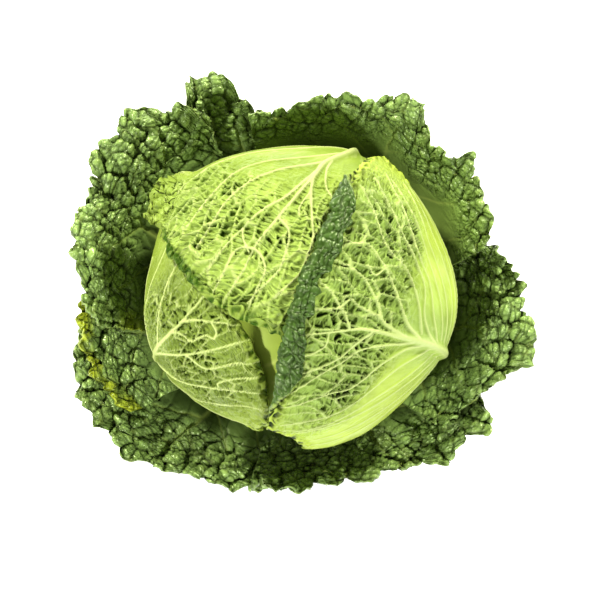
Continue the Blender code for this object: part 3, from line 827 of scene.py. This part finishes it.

# %% [markdown]
# ## The open outer leaves
# The outer leaves lie in a nest between an inner and an outer profile, like petals of a rose. Each is
# a part of a turned bowl: a meridian, here a Bezier curve, carried round through the leaf's spread. The
# rim isn't round, so each leaf lists the radius that its rim reaches, at points spread evenly across.
# Each has its own place in the nest, from 0 at the inner profile to 1 at the outer one, so neighbours
# lie one inside the other. A profile is a list of control points (radius, height) in metres.
#
# A leaf's optional keys: puckered is where its blisters start and are full along it, blush is how
# yellow it is inside, at its rim and at its right side, and inner_shade is how much shade is painted
# on its smooth base, under the head.

# %% The nest
INNER_PROFILE = [(0.0175, 0.0190), (0.052, 0.0170), (0.092, 0.0420), (0.100, 0.0800),
                 (0.098, 0.1180), (0.118, 0.1260), (0.142, 0.1120)]
OUTER_PROFILE = [(0.0175, 0.0072), (0.050, 0.0070), (0.080, 0.0070), (0.108, 0.0200),
                 (0.126, 0.0380), (0.140, 0.0560), (0.156, 0.0560)]
OUTER_NECK = 19.0
SWELL = 0.0035
SWELL_COUNT = 5
RIPPLE = 0.0028
STALK_GAP_MM = 26.0
PROFILE_STEPS = 200
OUTERS = {
    "outer_leaf_1": dict(
        azimuth=58, nest=0.0, spread=46, ripples=5, puckered=(0.64, 0.82), blush=(0.15, 0.0, 0.0),
        inner_shade=0.4, rim=(0.112, 0.118, 0.121, 0.113, 0.127, 0.117, 0.110, 0.106, 0.103)),
    "outer_leaf_2": dict(
        azimuth=153, nest=0.2, spread=37, ripples=4, blush=(0.1, 0.0, 0.9),
        rim=(0.112, 0.131, 0.135, 0.136, 0.134, 0.127, 0.125, 0.118, 0.112)),
    "outer_leaf_3": dict(
        azimuth=-8, nest=0.4, spread=33, ripples=4,
        rim=(0.112, 0.118, 0.124, 0.138, 0.140, 0.130, 0.122, 0.113, 0.112)),
    "outer_leaf_4": dict(
        azimuth=108, nest=0.4, spread=27, ripples=3,
        rim=(0.104, 0.104, 0.104, 0.116, 0.131, 0.139, 0.122, 0.110, 0.104)),
    "outer_leaf_5": dict(
        azimuth=302, nest=0.6, spread=45, ripples=5,
        rim=(0.108, 0.106, 0.107, 0.110, 0.113, 0.128, 0.132, 0.118, 0.108)),
    "outer_leaf_6": dict(
        azimuth=189, nest=0.6, spread=25, ripples=3, blush=(0.1, 1.0, 0.0),
        rim=(0.112, 0.118, 0.124, 0.122, 0.112)),
    "outer_leaf_7": dict(
        azimuth=228, nest=0.8, spread=47, ripples=5,
        rim=(0.118, 0.127, 0.133, 0.133, 0.126, 0.115, 0.113, 0.106, 0.106)),
    "outer_leaf_8": dict(
        azimuth=74, nest=0.75, spread=44, ripples=4, rim=(0.104, 0.111, 0.113, 0.109, 0.102)),
}


# %% Places in the nest
def bezier(points, u):
    """A Bezier curve at u: neighbouring points are blended, again and again, until one is left."""
    level = [np.multiply.outer(np.ones_like(u), p) for p in np.asarray(points, float)]
    while len(level) > 1:
        level = [a + (b - a) * u[..., None] for a, b in zip(level, level[1:])]
    return level[0]


def outer_middle(leaf, t, v, wobble=0, ruffle=0):
    """(middle surface, chart x, chart y) of an outer leaf.

    A meridian of the nest is turned through the leaf's spread, and ends where its radius is the rim's.
    wobble lengthens it, as a share, towards the rim, and ruffle lifts it, in metres. The chart unrolls
    the leaf like a cone: distance from the stalk, and an angle in proportion to the turn.
    """
    profile = np.array(INNER_PROFILE) + (np.array(OUTER_PROFILE) - INNER_PROFILE) * leaf["nest"]
    steps = np.linspace(0, 1, PROFILE_STEPS)
    places = bezier(profile, steps)
    lengths = np.concatenate([[0], np.cumsum(np.hypot(*np.diff(places, axis=0).T))]) / MM
    rim = np.interp(v, np.linspace(-1, 1, len(leaf["rim"])), leaf["rim"])
    end = np.interp(rim, places[:, 0], steps)
    u = end * t * (1 + wobble * smoothstep(0.8, 1, t))
    radius, height = np.moveaxis(bezier(profile, u), -1, 0)
    widening = OUTER_NECK + (leaf["spread"] - OUTER_NECK) * smoothstep(0.07, 0.38, u)
    turn = np.radians(v * widening)
    azimuth = np.radians(leaf["azimuth"]) + turn
    swell = SWELL * u**2 * np.cos(SWELL_COUNT * azimuth + 1.0)
    ripple = RIPPLE * t**4 * np.cos(np.pi * leaf["ripples"] * v)
    height = height + swell + ripple + ruffle
    away = np.interp(u, steps, lengths) + STALK_GAP_MM
    angle = turn * radius.max() / MM / away.max()
    surface = np.stack([radius * np.cos(azimuth), radius * np.sin(azimuth), height], -1)
    return surface, away * np.sin(angle), away * np.cos(angle)


# %% [markdown]
# ## Veins and blisters of the upper face
# An outer leaf's veins are feathered: side ribs leave the midrib in turn, left and right, and bend
# towards the rim. On the upper face they lie in valleys between the blisters. Three sizes of pucker
# are added: lobes about 20 mm across that ruffle the rim, blisters of 9 mm between the net's veins,
# and beads of 4 to 6 mm on their backs. The beads are stretched and bent, or they would look like a
# raspberry. Shade is painted into the creases between them, where little light reaches, and a painted
# highlight onto the beads' tops.

# %% A feather of veins
LOBE_CELL = 20.0
LOBE_HEIGHT = 8.0
BLISTER_CELL = 9.0
BLISTER_HEIGHT = 2.8
BEAD_CELL = 3.8
BEAD_RISE = 2.0
MIDRIB_AT_BASE = 0.0042
MIDRIB_AT_TIP = 0.0009
HALF_COLUMNS = 105
FULL_SPREAD = 46
PUCKERED = (0.35, 0.62)
INNER_SHADE = 0.85


def feather(reach, seed):
    """The midrib and its side ribs, from near the stalk out to reach mm, as chart points."""
    random = np.random.default_rng(seed)
    veins = [(4.2, 0.5, [(0, STALK_GAP_MM), (1.5, 0.5 * reach), (-1.0, 0.8 * reach), (2.0, reach)])]
    starts = np.linspace(0.24, 0.86, 8) * reach
    for number, start in enumerate(starts):
        aside = (1 if number % 2 else -1) * (reach - start + 34) * random.uniform(0.62, 0.8)
        far = start + (reach - start) * random.uniform(0.75, 0.95) + 8
        near_point = (0.22 * aside, start + 0.16 * (far - start) + 2)
        halfway = (0.58 * aside, start + 0.48 * (far - start) + random.uniform(-3, 3))
        veins.append((1.0, 0.35, [(0, start), near_point, halfway, (aside, far)]))
    return veins


# %% An outer leaf
def outer_piece(name, leaf, seed):
    """An outer leaf with its blistered upper face and its ribbed underside."""
    columns = 2 * int(HALF_COLUMNS * leaf["spread"] / FULL_SPREAD) + 1
    spacing = graded(145, [(0, 4.6), (0.4, 2.2), (0.62, 1)])
    t, v = np.meshgrid(spacing, np.linspace(-1, 1, columns), indexing="ij")
    start, full = leaf.get("puckered", PUCKERED)

    # The ruffled rim: lobes and smooth hills lengthen the leaf here and there and lift it.
    _, x, y = outer_middle(leaf, t, v)
    fold, _ = cells(1.4 * (x + 4 * noise(x, y, 16, seed + 13)), y, LOBE_CELL, seed + 14)
    lobe = dome(fold, 6.0)
    wobble = 0.07 * (lobe - 0.8) + 0.06 * noise(x, y, 9, seed + 1) + 0.022 * noise(x, y, 4, seed + 11)
    near_rim = smoothstep(start + 0.15, full + 0.23, t)
    sides = smoothstep(0.75, 1, np.abs(v)) * smoothstep(0.45, 0.7, t)
    hills = LOBE_HEIGHT * (lobe - 0.6) + 6.0 * noise(x, y, 24, seed + 2) + 3.0 * noise(x, y, 11, seed + 3)
    ruffle = near_rim * hills + sides * 2.0 * noise(x, y, 12, seed + 4)
    middle, x, y = outer_middle(leaf, t, v, wobble, ruffle * MM)

    # Blisters with beads on them, flattened along the veins.
    bend_x, bend_y = 2.5 * noise(x, y, 12, seed + 5), 2.5 * noise(x, y, 12, seed + 6)
    large, number = cells(x + bend_x, y + bend_y, BLISTER_CELL, seed + 7)
    small, small_number = cells(0.68 * (x + 0.9 * bend_x), 1.1 * (y - 0.9 * bend_y), BEAD_CELL, seed + 8)
    main, line = vein_field(x + 1.2 * noise(x, y, 7, seed + 15), y, feather(y.max(), seed + 9))
    line = line * (1 - 0.9 * smoothstep(0.62, 0.85, t + 0.1 * noise(x, y, 20, seed + 10)))
    grown = smoothstep(start, full, t + 0.06 * noise(x, y, 18, seed + 16))
    beads = grown * smoothstep(0.45, 0.75, t + 0.08 * noise(x, y, 25, seed + 12))
    big = BLISTER_HEIGHT * dome(large, 3.6) * (0.3 + 0.7 * number) * grown
    little = BEAD_RISE * dome(small, 1.7) * (0.3 + 0.7 * small_number) * (0.25 + 0.75 * beads)
    blister = (big + little * (0.25 + 0.75 * grown)) * (1 - 0.85 * line)
    rise = blister - 2.0 * grown

    # The underside follows the blisters and carries the ribs and the thick midrib.
    net_line = ridge(large, 0.8)
    rib = np.maximum(main, grown * 0.5 * net_line) * 0.8
    depth = MIDRIB_AT_TIP + (MIDRIB_AT_BASE - MIDRIB_AT_TIP) * (1 - t) ** 2
    midrib = depth / MM * ridge(x - np.interp(y, (0, y.max()), (0, 2.0)), 6.5 * (1 - 0.6 * t))
    normals = underside_normals(middle)
    upper = middle - normals * (HALF_BLADE + rise * MM)[..., None]
    beneath = np.maximum(rib, midrib) - np.maximum(rise, -0.6)
    lower = middle + normals * (HALF_BLADE + beneath * MM)[..., None]

    # Tones: painted shade in the creases and on the base under the head, pale veins, a painted
    # highlight on the beads' tops, and yellow rims.
    crease_shade = np.maximum(0.9 * grown * net_line, 0.65 * beads * ridge(small, 0.5)) * (1 - line)
    inside_shade = leaf.get("inner_shade", INNER_SHADE) * (1 - smoothstep(start + 0.08, full + 0.08, t))
    crease_shade = np.maximum(np.maximum(crease_shade, inside_shade), 0.8 * near_rim * grown * ridge(fold, 1.3))
    # A painted highlight on the beads' tops, mixed in with the pale vein tone.
    bead_highlight = 0.3 * beads * dome(small, 1.9) ** 4 * small_number
    inside, at_rim, at_side = leaf.get("blush", (0, 0, 0))
    patchy = 0.5 + 0.5 * noise(x, y, 7, seed + 17)
    blush = inside * (1 - grown) + at_rim * smoothstep(0.89, 0.98, t + 0.05 * noise(x, y, 9, seed + 18))
    blush = blush + at_side * patchy * smoothstep(0.72, 0.95, v) * (1 - smoothstep(0.75, 0.9, t))
    blush = np.clip(blush, 0, 1)
    still = np.zeros(t.shape)
    tones = {"vein": (np.maximum(0.65 * line, bead_highlight), np.maximum(line, net_line * grown)),
             "hollow": (crease_shade, 0.3 * crease_shade), "blush": (blush, blush),
             "underside": (still, still + 1), "pucker": (beads, beads)}
    rows, columns = kept(len(t), 2), kept(t.shape[1], 2)
    piece = leaf_object(name + "_leaf", upper, lower, tones, (x, y), rows, columns, 1, OUTER_GREEN)
    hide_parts(name)
    return piece


for number, (name, leaf) in enumerate(OUTERS.items()):
    outer_piece(name, leaf, 1000 + 50 * number)

# %% [markdown]
# ## The heart
# Between the wrapper leaves a small gap shows the heart. It is one closed ball: a grid of rings that
# ends in a point at both poles. The leaf that shows in the gap has a smooth blade, a little sunk
# there, with one pale rib and a branch.

# %% Sizes of the heart
HEART_RINGS = 97
HEART_TURNS = 128
HEART_RIB_HEIGHT = 0.0012
HEART_RIBS = 5
GAP_AZIMUTH = 254.0
GAP_ELEVATION = 52.0
GAP_DEPTH = 0.001
GAP_SPREAD = 15.0
HEART_MM_PER_DEGREE = 1.4
HEART_VEINS = [(1.6, 0.9, [(-14, 30), (-8, 52), (2, 68), (18, 84), (40, 96)]),
               (0.8, 0.5, [(-8, 52), (8, 58), (22, 62)])]


# %% Rings of points to a piece
def turned_object(name, points, tones, finish):
    """A closed piece from rings of points whose first and last rings shrink to one point each."""
    rings, turns = points.shape[:2]
    index = 1 + np.arange((rings - 2) * turns).reshape(rings - 2, turns)
    after = np.roll(index, -1, 1)
    last = index.size + 1
    quads = np.stack([index[:-1], after[:-1], after[1:], index[1:]], -1).reshape(-1, 4)
    bottom = np.stack([np.zeros(turns, int), after[0], index[0]], -1)
    top = np.stack([np.full(turns, last), index[-1], after[-1]], -1)
    faces = quads.tolist() + bottom.tolist() + top.tolist()
    places = np.vstack([points[0, :1], points[1:-1].reshape(-1, 3), points[-1, :1]])
    values = {tone: np.concatenate([grid[0, :1], grid[1:-1].ravel(), grid[-1, :1]])
              for tone, grid in tones.items()}
    return make_piece(name, places, faces, values, finish)


# %% The heart, put together
polar, turn = np.meshgrid(np.linspace(-np.pi / 2, np.pi / 2, HEART_RINGS),
                          np.linspace(0, 2 * np.pi, HEART_TURNS, endpoint=False), indexing="ij")
unit = np.stack([np.cos(polar) * np.cos(turn), np.cos(polar) * np.sin(turn), np.sin(polar)], -1)
at, high = np.radians([GAP_AZIMUTH, GAP_ELEVATION])
gap_way = np.array([np.cos(high) * np.cos(at), np.cos(high) * np.sin(at), np.sin(high)])
off_gap = np.degrees(np.arccos(np.clip(unit @ gap_way, -1, 1)))
dip = GAP_DEPTH * ridge(off_gap, GAP_SPREAD)
heart_ribs = HEART_RIB_HEIGHT * np.cos(polar) * np.cos(HEART_RIBS * turn + 3 * unit[..., 2])
heart_out = heart_ribs - HEART_RIB_HEIGHT - dip + head_swell(unit)
heart_points = HEAD_CENTRE + unit * (HEART_RADII + heart_out[..., None])
heart_height, heart_vein = vein_field(np.degrees(turn) - GAP_AZIMUTH, np.degrees(polar) * HEART_MM_PER_DEGREE,
                                      HEART_VEINS)
heart_points = heart_points + unit * (0.5 * heart_height * MM)[..., None]
quiet = np.zeros(turn.shape)
heart_tones = {"vein": 0.7 * heart_vein, "hollow": quiet, "blush": quiet + 0.3, "underside": quiet}
heart = turned_object("heart_ball", heart_points, heart_tones, HEART_GREEN)
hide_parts("heart")

# %% [markdown]
# ## The cut stalk
# The stalk is cut off square below the leaves. Its face is pale and moist, with a ring of darker
# fibres round a soft pith, and its side carries the scars of the leaves that were pulled off. It is a
# profile turned round the vertical, with the scars pressed in by a product of two waves.

# %% The cut stalk's sizes and finish
STALK_RADIUS = 0.0168
STALK_NECK = 0.0150
STALK_CHAMFER = 0.0016
STALK_TOP = 0.0335
STALK_TURNS = 96
SCAR_DEPTH = 0.0005
PITH_EDGE = 0.0095
FIBRE_EDGE = 0.0125
FIBRE_MM = 2.4
FIBRE_RELIEF = 0.0008


def stalk_finish():
    """Cut stalk: creamy pith, greener towards the fibres round it, mottled at the fibres' real spacing."""
    made = bpy.data.materials.new("cut_stalk_flesh")
    made.use_nodes = True
    tree = made.node_tree
    shader = tree.nodes["Principled BSDF"]
    place = add_node(tree, "ShaderNodeTexCoord").outputs["Object"]
    flat = add_node(tree, "ShaderNodeVectorMath", [(0, place)], operation="MULTIPLY")
    flat.inputs[1].default_value = (1, 1, 0)
    away = add_node(tree, "ShaderNodeVectorMath", [(0, flat.outputs[0])], operation="LENGTH")
    ring = add_node(tree, "ShaderNodeMapRange", [("Value", away.outputs["Value"])],
                    interpolation_type="SMOOTHSTEP", From_Min=PITH_EDGE, From_Max=FIBRE_EDGE)
    fibres = add_node(tree, "ShaderNodeTexNoise", [("Vector", place)], Scale=1 / (FIBRE_MM * MM), Detail=5.0)
    colour = "#E4E3B0"
    for share, over in ((ring.outputs["Result"], "#C3CB82"), (fibres.outputs["Fac"], "#B4B878")):
        mix = add_node(tree, "ShaderNodeMix", [("Factor", share), (6, colour), (7, over)], data_type="RGBA")
        colour = mix.outputs[2]
    tree.links.new(colour, shader.inputs["Base Color"])
    bump = add_node(tree, "ShaderNodeBump", [("Height", fibres.outputs["Fac"])],
                    Strength=0.4, Distance=FIBRE_RELIEF)
    tree.links.new(bump.outputs["Normal"], shader.inputs["Normal"])
    shader.inputs["Roughness"].default_value = 0.5
    shader.inputs["Metallic"].default_value = 0.0
    return made


# %% The stalk, turned
profile = [(0, 0), (0.006, 0), (0.012, 0), (0.0150, 0), (0.0161, 0.0004), (STALK_RADIUS, STALK_CHAMFER)]
profile += [(STALK_RADIUS + (STALK_NECK - STALK_RADIUS) * s, STALK_CHAMFER + (STALK_TOP - STALK_CHAMFER) * s)
            for s in np.linspace(0.05, 0.93, 18)]
profile += [(0.0125, STALK_TOP), (0.006, STALK_TOP), (0, STALK_TOP)]
radius, level = np.array(profile).T[:, :, None]
turn = np.linspace(0, 2 * np.pi, STALK_TURNS, endpoint=False)[None, :]
scarred = smoothstep(0.0018, 0.0045, level) * (1 - smoothstep(0.028, 0.0325, level))
scars = SCAR_DEPTH * scarred * np.cos(3 * turn + 420 * level) * np.cos(260 * level)
radius = radius * np.ones_like(turn) + np.minimum(scars, 0)
stalk_points = np.stack([radius * np.cos(turn), radius * np.sin(turn), level * np.ones_like(turn)], -1)
stalk = turned_object("stalk_stub", stalk_points, {}, stalk_finish())
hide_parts("stalk")

# %% [markdown]
# ## Camera, floor and light
# The cabbage is seen from almost straight above, ten degrees towards its front, with a long lens so
# that the leaves keep their true proportions. Four soft lamps stand low all round it, the back ones
# nearly twice as strong: low light gives every blister a lit side and a shaded one, and leaves the creases
# dark. The white sky adds only a little, and a bright plain floor fills the rest.

# %% Camera
CAMERA_ELEVATION = 80.0
CAMERA_DISTANCE = 1.1
VIEW_WIDTH = 0.3375
AIM_RIGHT_MM = 3.9375
AIM_DOWN_MM = 4.5
SENSOR_MM = 36.0

elevation = np.radians(CAMERA_ELEVATION)
back = np.array([0, -np.cos(elevation), np.sin(elevation)])
right = np.array([1.0, 0, 0])
up_way = np.cross(back, right)
target = HEAD_CENTRE + (AIM_RIGHT_MM * right - AIM_DOWN_MM * up_way) * MM
camera_data = bpy.data.cameras.new("camera")
camera_data.sensor_width = SENSOR_MM
camera_data.lens = SENSOR_MM * CAMERA_DISTANCE / VIEW_WIDTH
camera = bpy.data.objects.new("camera", camera_data)
camera.location = target + back * CAMERA_DISTANCE
camera.rotation_euler = (np.radians(90 - CAMERA_ELEVATION), 0, 0)
bpy.context.scene.collection.objects.link(camera)
bpy.context.scene.camera = camera
print("lens:", round(camera_data.lens, 1), "mm")

# %% Floor
FLOOR_HALF = 4.0
FLOOR_CORNERS = [(-FLOOR_HALF, -FLOOR_HALF, 0), (FLOOR_HALF, -FLOOR_HALF, 0),
                 (FLOOR_HALF, FLOOR_HALF, 0), (-FLOOR_HALF, FLOOR_HALF, 0)]

floor_mesh = bpy.data.meshes.new("floor")
floor_mesh.from_pydata(FLOOR_CORNERS, [], [(0, 1, 2, 3)])
floor = bpy.data.objects.new("floor", floor_mesh)
bpy.context.scene.collection.objects.link(floor)
paper = bpy.data.materials.new("studio_paper")
paper.use_nodes = True
paper.node_tree.nodes["Principled BSDF"].inputs["Base Color"].default_value = srgb("#F4F4F2")
paper.node_tree.nodes["Principled BSDF"].inputs["Roughness"].default_value = 0.9
floor_mesh.materials.append(paper)
floor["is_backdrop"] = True
print("floor:", 2 * FLOOR_HALF, "m square")

# %% Lamps and sky
LAMPS = {
    "back_left": dict(azimuth=130, elevation=31, watts=61, colour="#FFFDF2"),
    "back_right": dict(azimuth=52, elevation=31, watts=59, colour="#FFFDF2"),
    "front_right": dict(azimuth=-55, elevation=32, watts=38, colour="#FBFCFF"),
    "front_left": dict(azimuth=-138, elevation=32, watts=33, colour="#FBFCFF"),
}
LAMP_DISTANCE = 1.75
LAMP_SIZE = 0.18
SKY_STRENGTH = 0.36


def area_light(name, azimuth, elevation, watts, colour):
    """A square lamp in this direction from the head, in degrees, that faces it."""
    data = bpy.data.lights.new(name, "AREA")
    data.size = LAMP_SIZE
    data.energy = watts
    data.color = srgb(colour)[:3]
    lamp = bpy.data.objects.new(name, data)
    a, b = np.radians([azimuth, elevation])
    way = np.array([np.cos(b) * np.cos(a), np.cos(b) * np.sin(a), np.sin(b)])
    lamp.location = HEAD_CENTRE + LAMP_DISTANCE * way
    lamp.rotation_euler = (np.pi / 2 - b, 0, a + np.pi / 2)
    bpy.context.scene.collection.objects.link(lamp)


for name, lamp in LAMPS.items():
    area_light(name, **lamp)
world = bpy.data.worlds.new("studio")
world.use_nodes = True
world.node_tree.nodes["Background"].inputs["Color"].default_value = (1, 1, 1, 1)
world.node_tree.nodes["Background"].inputs["Strength"].default_value = SKY_STRENGTH
bpy.context.scene.world = world
bpy.context.scene.view_settings.view_transform = "Standard"
print("lamps:", sum(lamp["watts"] for lamp in LAMPS.values()), "W in all")

# %% [markdown]
# ## Sizes
# The dressed cabbage's box is printed, in mm.

# %% Write the sizes and finish
low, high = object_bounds()
print("visual model:", [round(1000 * s, 1) for s in high - low], "mm")
